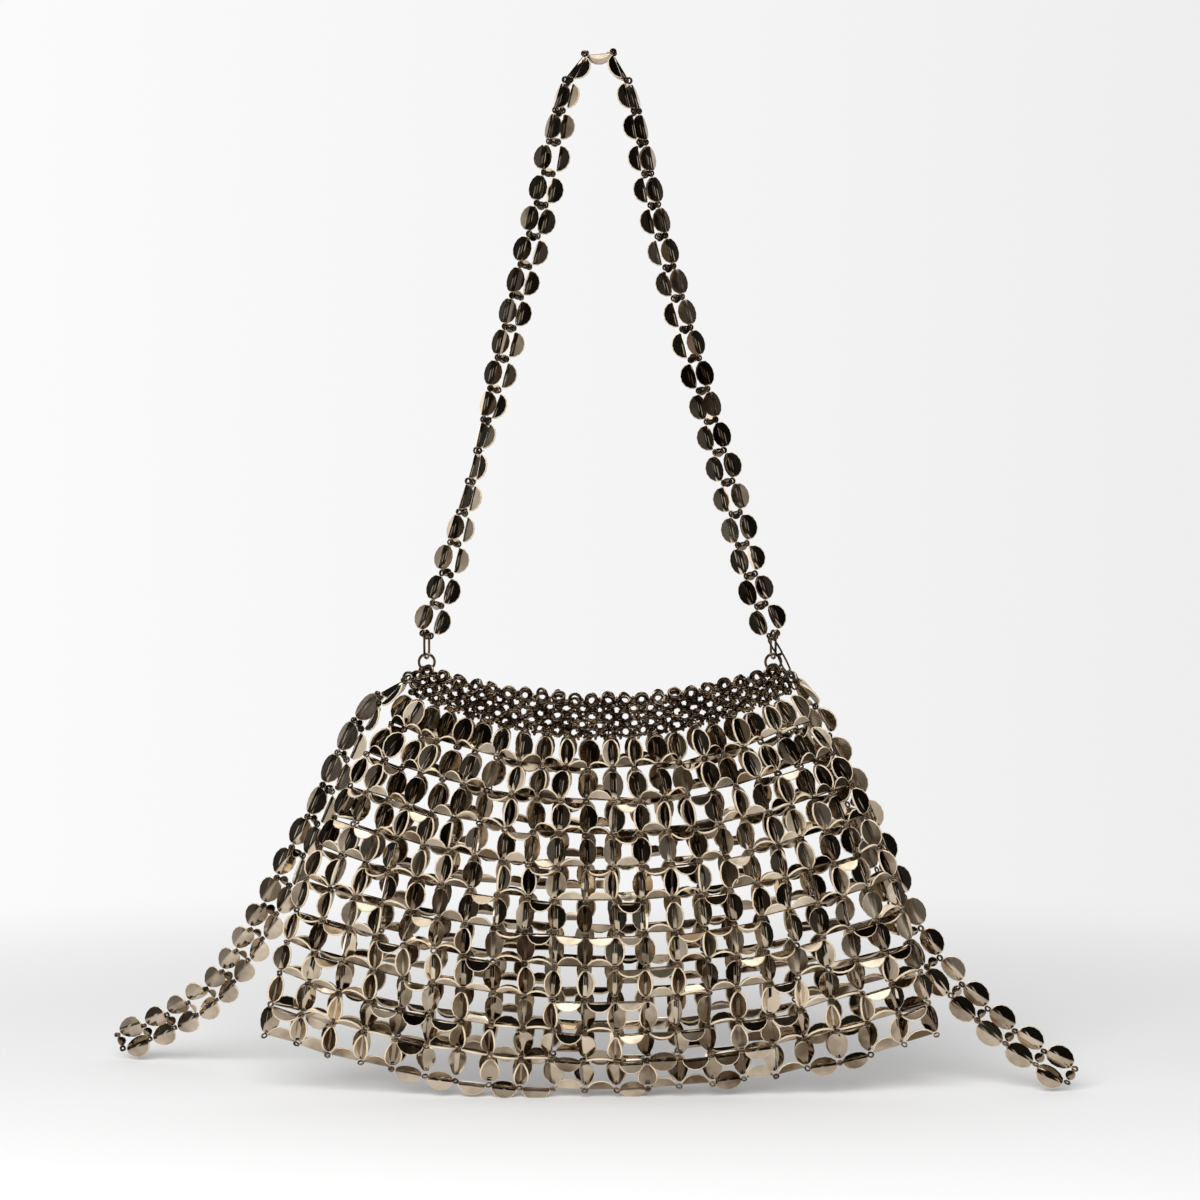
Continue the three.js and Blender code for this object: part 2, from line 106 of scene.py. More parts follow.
# Handled metal: tone from piece to piece, cloudy tarnish, rims painted paler and less metallic as a painted
# highlight along the edges of a rougher cut, and a skin that is never quite flat
def makeHandledMetalAndRimSheen():
    color, number = "NodeSocketColor", "NodeSocketFloat"
    tree = newGroup("handledMetalAndRimSheen", [
        ("Bright", color, (0.8, 0.7, 0.58, 1)),
        ("Deep", color, (0.6, 0.5, 0.4, 1)),
        ("Rim", color, (0.9, 0.78, 0.6, 1)),
        ("Polish", number, 0.08),
        ("Rim Roughness", number, 0.3),
        ("Satin Roughness", number, 0.34),
        ("Tone Share", number, 0.6),
        ("Cloud Size", number, 60.0),
        ("Ripple Size", number, 130.0),
        ("Scratch Size", number, 900.0),
    ], [("Color", color), ("Roughness", number), ("Metal", number), ("Height", number)])
    given = tree.nodes.new("NodeGroupInput")
    place = addNode(tree, "ShaderNodeTexCoord").outputs["Object"]
    tone = addNode(tree, "ShaderNodeAttribute", attribute_name="tone").outputs["Fac"]
    rim = addNode(tree, "ShaderNodeAttribute", attribute_name="rim").outputs["Fac"]
    satin = addNode(tree, "ShaderNodeAttribute", attribute_name="satin").outputs["Fac"]
    cloud = addNode(tree, "ShaderNodeTexNoise", {
        "Vector": place, "Scale": given.outputs["Cloud Size"], "Detail": 3.0, "Roughness": 0.6,
    }).outputs["Fac"]
    ripple = addNode(tree, "ShaderNodeTexNoise", {
        "Vector": place, "Scale": given.outputs["Ripple Size"], "Detail": 1.0,
    }).outputs["Fac"]
    stretched = addNode(tree, "ShaderNodeMapping", {
        "Vector": place, "Scale": (1.0, 1.0, wearAndRimSheen["scratchStretch"]),
    })
    scratch = addNode(tree, "ShaderNodeTexNoise", {
        "Vector": stretched.outputs["Vector"], "Scale": given.outputs["Scratch Size"], "Detail": 2.0,
    }).outputs["Fac"]
    dull = addNode(tree, "ShaderNodeMapRange", {
        "Value": cloud, "From Min": wearAndRimSheen["cloudLow"], "From Max": wearAndRimSheen["cloudHigh"],
        "To Min": 0.0, "To Max": wearAndRimSheen["dullest"],
    }).outputs["Result"]
    share = addNode(tree, "ShaderNodeMath", {
        0: tone, 1: given.outputs["Tone Share"], 2: dull,
    }, operation="MULTIPLY_ADD", use_clamp=True)
    body = addNode(tree, "ShaderNodeMixRGB", {
        "Fac": share.outputs["Value"], "Color1": given.outputs["Bright"], "Color2": given.outputs["Deep"],
    }).outputs["Color"]
    # painted highlight: the rims take the paler Rim colour
    withRimSheen = addNode(tree, "ShaderNodeMixRGB", {"Fac": rim, "Color1": body, "Color2": given.outputs["Rim"]})
    haze = addNode(tree, "ShaderNodeMath", {
        0: dull, 1: wearAndRimSheen["dullRoughness"], 2: given.outputs["Polish"],
    }, operation="MULTIPLY_ADD")
    fine = addNode(tree, "ShaderNodeMath", {
        0: scratch, 1: wearAndRimSheen["scratchRoughness"], 2: haze.outputs["Value"],
    }, operation="MULTIPLY_ADD")
    skin = addNode(tree, "ShaderNodeMath", {
        0: satin, 1: given.outputs["Satin Roughness"], 2: fine.outputs["Value"],
    }, operation="MULTIPLY_ADD")
    rough = addNode(tree, "ShaderNodeMapRange", {
        "Value": rim, "To Min": skin.outputs["Value"], "To Max": given.outputs["Rim Roughness"],
    }).outputs["Result"]
    # painted highlight: the rims turn less metallic and catch the soft light
    metalWithRimSheen = addNode(tree, "ShaderNodeMapRange", {
        "Value": rim, "To Min": 1.0, "To Max": wearAndRimSheen["rimMetal"],
    }).outputs["Result"]
    height = addNode(tree, "ShaderNodeMath", {
        0: scratch, 1: wearAndRimSheen["scratchHeight"], 2: ripple,
    }, operation="MULTIPLY_ADD")
    out = tree.nodes.new("NodeGroupOutput")
    tree.links.new(withRimSheen.outputs["Color"], out.inputs["Color"])
    tree.links.new(rough, out.inputs["Roughness"])
    tree.links.new(metalWithRimSheen, out.inputs["Metal"])
    tree.links.new(height.outputs["Value"], out.inputs["Height"])
    return tree


handledMetalAndRimSheen = makeHandledMetalAndRimSheen()


def metalMaterial(name, values, bumpStrength, bumpDistance):
    material = bpy.data.materials.new(name)
    material.use_nodes = True
    tree = material.node_tree
    shader = tree.nodes["Principled BSDF"]
    patina = addNode(tree, "ShaderNodeGroup", node_tree=handledMetalAndRimSheen)
    for key, value in values.items():
        patina.inputs[key].default_value = value
    bump = addNode(tree, "ShaderNodeBump", {
        "Height": patina.outputs["Height"], "Strength": bumpStrength, "Distance": bumpDistance,
    })
    tree.links.new(patina.outputs["Color"], shader.inputs["Base Color"])
    tree.links.new(patina.outputs["Roughness"], shader.inputs["Roughness"])
    tree.links.new(patina.outputs["Metal"], shader.inputs["Metallic"])
    tree.links.new(bump.outputs["Normal"], shader.inputs["Normal"])
    return material


champagneMetal = metalMaterial("champagneMetal", {
    "Bright": (0.78, 0.66, 0.51, 1), "Deep": (0.15, 0.1, 0.06, 1), "Rim": (0.76, 0.63, 0.46, 1),
    "Polish": 0.03, "Rim Roughness": 0.3, "Tone Share": 0.8, "Ripple Size": 60.0,
}, 0.09, 0.14 * mm)
ringMetal = metalMaterial("ringMetal", {
    "Bright": (0.62, 0.47, 0.32, 1), "Deep": (0.08, 0.052, 0.03, 1), "Rim": (0.86, 0.72, 0.54, 1),
    "Polish": 0.1, "Rim Roughness": 0.3, "Tone Share": 0.9, "Cloud Size": 140.0,
}, 0.3, 0.1 * mm)
print("materials made")


# Repeated shapes

folded = {
    "diameter": 9.6 * mm,
    "segments": 14,
    "thickness": 0.8 * mm,
    "foldRound": 1.5 * mm,
    "foldSteps": 3,
    "rimRound": 0.25 * mm,
    "rimAngle": math.radians(60),
    "rimArea": 1.2 * mm * mm,
}


def keepTemplate(name, bm):
    mesh = bpy.data.meshes.new(name)
    bm.to_mesh(mesh)
    rims = [1.0 if face.material_index == 1 else 0.0 for face in bm.faces]
    for polygon in mesh.polygons:
        polygon.material_index = 0
    bm.free()
    return {"mesh": mesh, "rims": rims}


# Disc in the XY plane, folded along Y, with the ridge up and both flanks bent down by the fold angle
def foldedDisc(name, fold):
    bm = bmesh.new()
    onFold = 0.01 * mm
    bmesh.ops.create_circle(bm, cap_ends=True, segments=folded["segments"], radius=folded["diameter"] / 2)
    everything = bm.verts[:] + bm.edges[:] + bm.faces[:]
    bmesh.ops.bisect_plane(bm, geom=everything, dist=onFold, plane_co=(0, 0, 0), plane_no=(1, 0, 0))
    for side in (-1, 1):
        flank = [vert for vert in bm.verts if vert.co.x * side > onFold]
        bmesh.ops.rotate(bm, verts=flank, cent=(0, 0, 0), matrix=Matrix.Rotation(side * fold, 3, "Y"))
    ridge = [edge for edge in bm.edges if all(abs(vert.co.x) < onFold for vert in edge.verts)]
    bmesh.ops.bevel(
        bm, geom=ridge, offset=folded["foldRound"], offset_type="OFFSET", affect="EDGES",
        segments=folded["foldSteps"], profile=0.5, material=-1,
    )
    flanks = 2
    order = sorted(bm.faces, key=lambda face: -face.calc_area())
    for face in order[flanks:]:
        face.smooth = True
    bmesh.ops.recalc_face_normals(bm, faces=bm.faces[:])
    if sum(face.normal.z for face in bm.faces) < 0:
        bmesh.ops.reverse_faces(bm, faces=bm.faces[:])
    bmesh.ops.solidify(bm, geom=bm.faces[:], thickness=folded["thickness"])
    bmesh.ops.recalc_face_normals(bm, faces=bm.faces[:])
    edges = [
        edge for edge in bm.edges
        if len(edge.link_faces) == 2 and edge.calc_face_angle() > folded["rimAngle"]
    ]
    bmesh.ops.bevel(
        bm, geom=edges, offset=folded["rimRound"], offset_type="OFFSET", affect="EDGES",
        segments=1, profile=0.5, material=-1,
    )
    # the small rim faces are smooth and marked for the painted highlight along the edges
    for face in bm.faces:
        if face.calc_area() < folded["rimArea"]:
            face.smooth = True
            face.material_index = 1
    return keepTemplate(name, bm)


# Ring of round wire in the XY plane, with so many turns round it and sides to the wire, drawn out along Y
def wireRing(name, radius, wire, turns, sides, stretch=0.0):
    bm = bmesh.new()
    level = wire / 100                   # points level with the ring's middle stay where they are
    rounds = []
    for turn in range(turns):
        around = 2 * math.pi * turn / turns
        corners = []
        for side in range(sides):
            angle = 2 * math.pi * side / sides
            reach = radius - wire * math.sin(angle)
            along = reach * math.sin(around)
            if abs(along) > level:
                along += math.copysign(stretch, along)
            corners.append(bm.verts.new((reach * math.cos(around), along, wire * math.cos(angle))))
        rounds.append(corners)
    for here, there in zip(rounds, rounds[1:] + rounds[:1]):
        for side in range(sides):
            after = (side + 1) % sides
            face = bm.faces.new((there[side], there[after], here[after], here[side]))
            face.smooth = True
    return keepTemplate(name, bm)


# Building a joined piece from copies

def newPiece():
    return {"bm": bmesh.new(), "tones": [], "rims": [], "satins": []}


def addCopy(piece, template, matrix, tone, satin=0.0):
    mesh = template["mesh"].copy()
    mesh.transform(matrix)
    piece["bm"].from_mesh(mesh)
    bpy.data.meshes.remove(mesh)
    piece["rims"] += template["rims"]
    piece["tones"] += [tone] * len(template["rims"])
    piece["satins"] += [satin] * len(template["rims"])


# Local X goes along the width, Y along the run and Z out of the ridge
def placed(point, run, ridge, size=(1, 1, 1)):
    run = run.normalized()
    ridge = (ridge - run * ridge.dot(run)).normalized()
    width = run.cross(ridge)
    turned = Matrix((width * size[0], run * size[1], ridge * size[2])).transposed().to_4x4()
    return Matrix.Translation(point) @ turned


# Place of a ring on a surface, leaned about X and swayed about Z from the way that the surface faces
def ringPlace(point, away, lean, sway, size=(1, 1, 1)):
    turn = Matrix.Rotation(lean, 3, "X") @ Matrix.Rotation(sway, 3, "Z")
    return placed(point, turn @ up, turn @ away, size)


def shaken(chance, reach):
    return Vector([chance.uniform(-reach, reach) for _ in range(3)])


def finishPiece(name, piece, material, slot, *nodes):
    mesh = bpy.data.meshes.new(name)
    piece["bm"].to_mesh(mesh)
    piece["bm"].free()
    for key in ("tone", "rim", "satin"):
        values = mesh.attributes.new(name=key, type="FLOAT", domain="FACE")
        values.data.foreach_set("value", piece[key + "s"])
    mesh.materials.append(material)
    thing = bpy.data.objects.new(name, mesh)
    bpy.context.scene.collection.objects.link(thing)
    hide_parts(*nodes)
    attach(thing, "root")
    triangles = sum(len(polygon.vertices) - 2 for polygon in mesh.polygons)
    print(name, "has", triangles, "triangles")


# Pouch: shape of the band and of the net under it

band = {
    "topZ": -231.5 * mm,
    "topSag": 11.4 * mm,
    "height": 15.1 * mm,
    "endHeight": 9.5 * mm,
    "topWidth": 139.4 * mm,
    "bottomWidth": 146 * mm,
    "depth": 24 * mm,
}
pouch = {
    "depth": 40 * mm,
    "hemWidth": 260 * mm,
    "height": 138 * mm,
    "hemSag": 21.7 * mm,
    "seatGap": 0.3 * mm,
    "fullness": 0.75,
    "sections": [   # in even steps from the band to the hem: how far it has widened, and share of each depth
        {"widened": 0, "bandShare": 1, "bulge": 0},
        {"widened": 0.33, "bandShare": 0.75, "bulge": 0.28},
        {"widened": 0.57, "bandShare": 0.45, "bulge": 0.66},
        {"widened": 0.76, "bandShare": 0.15, "bulge": 0.9},
        {"widened": 0.89, "bandShare": 0, "bulge": 0.84},
        {"widened": 1, "bandShare": 0, "bulge": 0},
    ],
}
slope = {
    "step": 0.02,                    # a surface's slope is taken over this share to each side
    "edge": 0.96,                    # nearer its side edges it turns too fast to take one
}


def mix(start, end, share):
    return start + (end - start) * share


def roundness(across):
    return max(0.0, 1 - across * across) ** pouch["fullness"]


def bandTop(across):
    return band["topZ"] - band["topSag"] * (1 - across * across)


def bandBottom(across):
    middle = band["topZ"] - band["topSag"] - band["height"]
    end = band["topZ"] - band["endHeight"]
    return mix(middle, end, across * across)


def bandPoint(side, across, down, inwards=0.0):
    halfWidth = mix(band["topWidth"], band["bottomWidth"], down) / 2
    depth = band["depth"] / 2 - inwards
    return Vector((
        across * (halfWidth - inwards),
        side * roundness(across) * depth,
        mix(bandTop(across), bandBottom(across), down),
    ))


# Uniform Catmull-Rom through the rows of the pouch's sections
def sectionValue(column, down):
    rows = [row[column] for row in pouch["sections"]]
    spot = min(max(down, 0.0), 1.0) * (len(rows) - 1)
    low = min(int(spot), len(rows) - 2)
    share = spot - low
    before, start, end, after = (rows[min(max(low + step, 0), len(rows) - 1)] for step in (-1, 0, 1, 2))
    startSlope, endSlope = (end - before) / 2, (after - start) / 2
    cubic = 2 * start - 2 * end + startSlope + endSlope
    square = -3 * start + 3 * end - 2 * startSlope - endSlope
    return ((cubic * share + square) * share + startSlope) * share + start


def netPoint(side, across, down):
    halfWidth = mix(band["bottomWidth"], pouch["hemWidth"], sectionValue("widened", down)) / 2
    depth = band["depth"] * sectionValue("bandShare", down) + pouch["depth"] * sectionValue("bulge", down)
    hem = bandBottom(0) - pouch["height"] + pouch["hemSag"] * across * across
    top = bandBottom(across) - pouch["seatGap"]
    return Vector((across * halfWidth, side * roundness(across) * depth / 2, mix(top, hem, down)))


def outwards(side, across, down, surface):
    step = slope["step"]
    across = min(max(across, -slope["edge"]), slope["edge"])
    down = min(max(down, step), 1 - step)
    along = surface(side, across + step, down) - surface(side, across - step, down)
    fall = surface(side, across, down + step) - surface(side, across, down - step)
    away = along.cross(fall).normalized()
    return away if away.y * side > 0 else -away


# Net of the pouch

net = {
    "columns": 21,
    "rows": 11,
    "hemLift": 2.6 * mm,         # the lowest knots stay this far above the hem of the solid
    "sideInset": 0.985,
    "spread": 0.2,               # the middle columns open wider than the side ones near the band
    "spreadEnd": 0.8,
    "gather": 3.6 * mm,          # pleats near the band, in and out
    "gatherEnd": 0.6,
    "pleats": (0.5, 1.15),       # how deep a column's pleat is, as a share of the gather
    "jitter": 0.45 * mm,
    "knotGap": 1.5 * mm,
    "shortest": 0.72,
    "longest": 1.16,
    "folds": [math.radians(angle) for angle in (32, 40, 48)],
    "levelFolds": [math.radians(angle) for angle in (38, 48)],
    "roll": math.radians(13),
    "tip": math.radians(84),     # how far the level discs tip up or down
    "hemTip": math.radians(46),
    "tipUpShare": 0.6,
    "turnedShare": 0.45,         # discs whose hollow faces out
    "turnedShift": 1.5 * mm,
    "satinShare": 0.2,
    "ringRadius": 1.05 * mm,
    "ringWire": 0.34 * mm,
    "ringTilts": (0.5, -1.1),
    "ringLean": 0.35,
    "ringSway": 0.4,
    "seed": 11,
}
uprights = [foldedDisc("upright%d" % index, fold) for index, fold in enumerate(net["folds"])]
levels = [foldedDisc("level%d" % index, fold) for index, fold in enumerate(net["levelFolds"])]
knotRing = wireRing("knotRing", net["ringRadius"], net["ringWire"], turns=8, sides=5)


def netKnots(side, chance):
    knots = []
    columnPleat = [chance.uniform(*net["pleats"]) for _ in range(net["columns"] + 1)]
    for row in range(net["rows"] + 1):
        line = []
        for column in range(net["columns"] + 1):
            down = row / net["rows"] * (1 - net["hemLift"] / pouch["height"])
            even = 2 * column / net["columns"] - 1
            opened = net["spread"] * max(0.0, 1 - down / net["spreadEnd"])
            across = even * (1 + opened) - opened * even ** 3
            across *= net["sideInset"]
            point = netPoint(side, across, down)
            away = outwards(side, across, down, netPoint)
            edge = roundness(across)
            pleat = net["gather"] * columnPleat[column] * max(0.0, 1 - down / net["gatherEnd"]) * edge
            point += away * pleat * (1 if column % 2 else -1)
            loose = net["jitter"] * (0 if row == 0 else 1)
            line.append({"point": point + shaken(chance, loose), "away": away})
        knots.append(line)
    return knots


# Disc from one knot to the next. A level disc also tips up or down, and an upright one may turn inside out.
def netDisc(piece, first, second, chance, shapes, tip=0.0):
    run = second["point"] - first["point"]
    away = (first["away"] + second["away"]).normalized()
    roll = chance.gauss(0, net["roll"])
    roll += tip if chance.random() < net["tipUpShare"] else -tip
    ridge = Matrix.Rotation(roll, 3, run.normalized()) @ away
    middle = (first["point"] + second["point"]) / 2
    if chance.random() < net["turnedShare"] and tip == 0.0:
        ridge = -ridge
        middle -= away * net["turnedShift"]
    free = (run.length - net["knotGap"]) / folded["diameter"]
    length = min(net["longest"], max(net["shortest"], free))
    satin = chance.random() if chance.random() < net["satinShare"] else 0.0
    tone = chance.random()
    addCopy(piece, chance.choice(shapes), placed(middle, run, ridge, (1, length, 1)), tone, satin)


def netRings(piece, knot, chance):
    for tilt in net["ringTilts"]:
        lean = tilt + chance.uniform(-net["ringLean"], net["ringLean"])
        sway = chance.uniform(-net["ringSway"], net["ringSway"])
        addCopy(piece, knotRing, ringPlace(knot["point"], knot["away"], lean, sway), chance.random())


# One panel of the net. The panel that owns the edges has what both share along the sides and the hem.
def netPanel(name, knots, ownsEdges, chance):
    discPiece, ringPiece = newPiece(), newPiece()
    for row in range(net["rows"] + 1):
        for column in range(net["columns"] + 1):
            knot = knots[row][column]
            onSide = column in (0, net["columns"])
            onHem = row == net["rows"]
            if row < net["rows"] and (ownsEdges or not onSide):
                netDisc(discPiece, knot, knots[row + 1][column], chance, uprights)
            if column < net["columns"] and row > 0 and (ownsEdges or not onHem):
                tip = net["hemTip"] if onHem else net["tip"]
                netDisc(discPiece, knot, knots[row][column + 1], chance, levels, tip)
            if ownsEdges or not (onSide or onHem):
                netRings(ringPiece, knot, chance)
    finishPiece(name + "_discs", discPiece, champagneMetal, "discs", name)
    finishPiece(name + "_rings", ringPiece, ringMetal, "rings", name)


def makeNet():
    chance = random.Random(net["seed"])
    frontKnots = netKnots(-1, chance)
    backKnots = netKnots(1, chance)
    for row in range(net["rows"] + 1):           # both panels share the side columns, and the hem
        for column in range(net["columns"] + 1):
            if column in (0, net["columns"]) or row == net["rows"]:
                backKnots[row][column] = frontKnots[row][column]
    netPanel("net_front", frontKnots, True, chance)
    netPanel("net_back", backKnots, False, chance)


makeNet()
print("net made")


# Band of ring mesh

mail = {
    "columns": 22,
    "rows": 5,
    "firstRow": 0.75,            # rows from the upper edge to the middle of the first rings
    "rowRoom": 0.2,              # of a row's height, left free at the lower edge
    "sideInset": 0.985,
    "inwards": 0.9 * mm,
    "radius": 1.95 * mm,
    "wire": 0.6 * mm,
    "lean": 0.35,                # one row leans out and the next one in
    "sway": 0.3,
    "jitter": 0.45 * mm,
    "widths": (0.85, 1.2),
    "lengths": (0.75, 1.1),
    "joinRadius": 1.05 * mm,
    "joinWire": 0.6 * mm,
    "joins": ((-0.25, 1.25), (0.25, 1.25), (0.5, 0.75)),     # in columns aside and rows down
    "lowestJoin": 1.02,
    "joinRun": (3, -0.75),       # sideways for each column aside, and downwards
    "joinJitter": 0.5 * mm,
    "joinTilts": (0.5, 1.1),
    "scallopRadius": 2.3 * mm,
    "scallopWire": 0.55 * mm,
    "scallopDrop": 1.3 * mm,
    "scallopDrops": (0.5, 1.5),
    "scallopSway": 0.9,
    "darkness": 0.65,            # under 1, more of the rings are dark than bright
    "seed": 5,
}
eyes = {
    "strapRadius": 3.0 * mm,
    "tailRadius": 1.9 * mm,
    "wire": 0.55 * mm,
    "strapX": 66.0 * mm,
    "strapZ": -230.38 * mm,
    "strapTone": 0.3,
    "tailX": 72.9 * mm,
    "tailZ": -236.25 * mm,
    "tailTone": 0.5,
}
meshRing = wireRing("meshRing", mail["radius"], mail["wire"], turns=12, sides=5)
joinRing = wireRing("joinRing", mail["joinRadius"], mail["joinWire"], turns=8, sides=5)
scallopRing = wireRing("scallopRing", mail["scallopRadius"], mail["scallopWire"], turns=14, sides=6)
strapEye = wireRing("strapEye", eyes["strapRadius"], eyes["wire"], turns=20, sides=8)
tailEye = wireRing("tailEye", eyes["tailRadius"], eyes["wire"], turns=18, sides=8)


# Point of the band and the way it faces there
def bandFrame(side, column, down):
    across = 2 * column / mail["columns"] - 1
    across = min(max(across, -mail["sideInset"]), mail["sideInset"])
    point = bandPoint(side, across, down, mail["inwards"])
    if side > 0:                                 # each rear ring stands behind a front one
        reach = (studio["distance"] + point.y) / (studio["distance"] - point.y)
        point.x *= reach
        point.z = studio["height"] + (point.z - studio["height"]) * reach
    return point, outwards(side, across, down, bandPoint)


def rowsDown(rows):
    return rows / (mail["rows"] + mail["rowRoom"])


def mailTone(chance):
    return chance.random() ** mail["darkness"]


def mailRing(piece, side, row, column, chance):
    point, away = bandFrame(side, column, rowsDown(row + mail["firstRow"]))
    lean = mail["lean"] * (1 if row % 2 else -1) + chance.uniform(-mail["sway"], mail["sway"])
    sway = chance.uniform(-mail["sway"], mail["sway"])
    point += shaken(chance, mail["jitter"])
    size = (chance.uniform(*mail["widths"]), chance.uniform(*mail["lengths"]), 1)
    addCopy(piece, meshRing, ringPlace(point, away, lean, sway, size), mailTone(chance))


# Small rings that join a ring to the next ones in its row and to the row below
def joinRings(piece, side, row, column, chance):
    aside, fall = mail["joinRun"]
    for step, rows in mail["joins"]:
        if not 0 <= column + 2 * step <= mail["columns"]:
            continue
        down = min(rowsDown(row + rows), mail["lowestJoin"])
        point, away = bandFrame(side, column + step, down)
        run = away.cross(Vector((step * aside, 0, fall))).normalized()
        point += shaken(chance, mail["joinJitter"])
        tilted = Matrix.Rotation(chance.uniform(*mail["joinTilts"]), 3, away) @ run
        addCopy(piece, joinRing, placed(point, away, tilted), mailTone(chance))


def scallopRings(piece, side, chance):
    for column in range(mail["columns"]):
        point, away = bandFrame(side, column + 0.5, 0)
        lean = chance.uniform(-mail["scallopSway"], mail["scallopSway"])
        sway = chance.uniform(-mail["scallopSway"], mail["scallopSway"])
        point.z -= mail["scallopDrop"] * chance.uniform(*mail["scallopDrops"])
        addCopy(piece, scallopRing, ringPlace(point, away, lean, sway), mailTone(chance))


def addEye(piece, template, x, z, tone):
    for side in (-1, 1):
        addCopy(piece, template, placed(Vector((side * x, 0, z)), up, front), tone)


def makeBand():
    chance = random.Random(mail["seed"])
    piece = newPiece()
    for side in (-1, 1):
        for row in range(mail["rows"]):
            offset = 0.5 if row % 2 == 0 else 0.0
            for index in range(mail["columns"] + 1):
                column = index + offset
                if column > mail["columns"]:
                    continue
                mailRing(piece, side, row, column, chance)
                joinRings(piece, side, row, column, chance)
        scallopRings(piece, side, chance)
    addEye(piece, strapEye, eyes["strapX"], eyes["strapZ"], eyes["strapTone"])
    addEye(piece, tailEye, eyes["tailX"], eyes["tailZ"], eyes["tailTone"])
    finishPiece("mesh_band_rings", piece, ringMetal, "rings", "mesh_band")


makeBand()
print("band made")


# Strap, tails and links

ladder = {
    "strapPitch": 12.4 * mm,
    "tailPitch": 14.0 * mm,
    "tailWidening": 1.1,
    "strapWidening": 1.0,
    "strapSpacing": 5.6 * mm,
    "tailSpacing": 7.5 * mm,
    "strapRings": 0.62,               # the rings hang nearer the middle than the discs
    "tailRings": 0.8,
    "neck": 0.95 * mm,
    "strapFold": math.radians(40),
    "tailFold": math.radians(30),
    "strapLean": math.radians(14),
    "strapTurn": math.radians(-6),    # both halves turn a little to the middle
    "tailLean": math.radians(14),
    "roll": math.radians(8),
    "rungRoll": math.radians(16),
    "ringRadius": 1.05 * mm,
    "ringWire": 0.38 * mm,
    "ringTilts": (0.6, -0.9),
    "ringLean": 0.3,
    "ringTones": (0.4, 1.0),
    "rungSize": (0.5, 0.42, 0.6),
    "rungTones": (0.5, 1.0),
    "lengthSteps": 200,
    "nudge": 0.0001,                  # share of a route over which its direction is taken
    "seed": 23,
}
strapRoute = [   # share of the half span, share of the height, and degrees that the ridges turn outwards
    (-1, 1, 0), (-0.952, 0.957, 0), (-0.9, 0.911, 5), (-0.848, 0.853, 25), (-0.796, 0.793, 45),
    (-0.727, 0.715, 62), (-0.693, 0.669, 70), (-0.646, 0.622, 48), (-0.6, 0.571, 22), (-0.554, 0.515, 20),
    (-0.462, 0.402, 12), (-0.364, 0.299, 0), (-0.283, 0.19, 5), (-0.254, 0.135, 32), (-0.214, 0.083, 42),
    (-0.139, 0.028, 62), (0, 0, 90), (0.104, 0.018, 82), (0.173, 0.071, 62), (0.225, 0.129, 52),
    (0.277, 0.219, 42), (0.364, 0.333, 32), (0.473, 0.452, 28), (0.577, 0.564, 22), (0.675, 0.673, 12),
    (0.768, 0.775, 0), (0.848, 0.878, 0), (0.918, 0.941, 0), (1, 1, 0),
]
tailLeftRoute = [   # share of the reach, of the way back and of the drop, and degrees
    (0, 0, 0, 90), (0.083, 0.037, 0.046, 62), (0.151, 0.094, 0.111, 45), (0.196, 0.119, 0.182, 42),
    (0.241, 0.138, 0.259, 42), (0.282, 0.15, 0.33, 42), (0.324, 0.169, 0.402, 32), (0.373, 0.2, 0.48, 22),
    (0.418, 0.25, 0.557, 12), (0.476, 0.338, 0.643, 8), (0.54, 0.45, 0.72, 5), (0.612, 0.575, 0.8, 3),
    (0.695, 0.7, 0.866, 0), (0.793, 0.825, 0.921, 0), (0.896, 0.925, 0.966, 0), (1.001, 1, 1, 0),
]
tailRightRoute = [   # the same shares for the right tail
    (0, 0, 0, -90), (0.04, 0.056, 0.047, -62), (0.074, 0.1, 0.111, -40), (0.112, 0.125, 0.18, -28),
    (0.159, 0.131, 0.256, -22), (0.203, 0.131, 0.327, -18), (0.24, 0.131, 0.398, -14),
    (0.287, 0.131, 0.479, -8), (0.324, 0.131, 0.555, -4), (0.371, 0.125, 0.631, 0), (0.42, 0.125, 0.697, 0),
    (0.483, 0.125, 0.766, 0), (0.564, 0.125, 0.831, 0), (0.657, 0.125, 0.897, 0), (0.76, 0.125, 0.957, 0),
    (0.869, 0.125, 1.008, 0),
]
chainEnds = {
    "strapTop": 4.1 * mm,
    "strapEnd": -219.95 * mm,
    "tailStart": Vector((73.85 * mm, 0, -236.85 * mm)),
    "tailTravel": Vector((123.6 * mm, 80 * mm, -151.75 * mm)),
}


# Centripetal Catmull-Rom curve, as the solids follow it
def curvePoint(points, share):
    last = len(points) - 1
    spot = min(max(share, 0.0), 1.0) * last
    low = min(int(spot), last - 1)
    part = spot - low
    start, end = points[low], points[low + 1]
    before = points[low - 1] if low > 0 else start * 2 - end
    after = points[low + 2] if low + 2 <= last else end * 2 - start
    gaps = [(second - first).length ** 0.5 for first, second in ((before, start), (start, end), (end, after))]
    slopeIn = (start - before) / gaps[0] - (end - before) / (gaps[0] + gaps[1]) + (end - start) / gaps[1]
    slopeOut = (end - start) / gaps[1] - (after - start) / (gaps[1] + gaps[2]) + (after - end) / gaps[2]
    slopeIn, slopeOut = slopeIn * gaps[1], slopeOut * gaps[1]
    cubic = start * 2 - end * 2 + slopeIn + slopeOut
    square = end * 3 - start * 3 - slopeIn * 2 - slopeOut
    return ((cubic * part + square) * part + slopeIn) * part + start


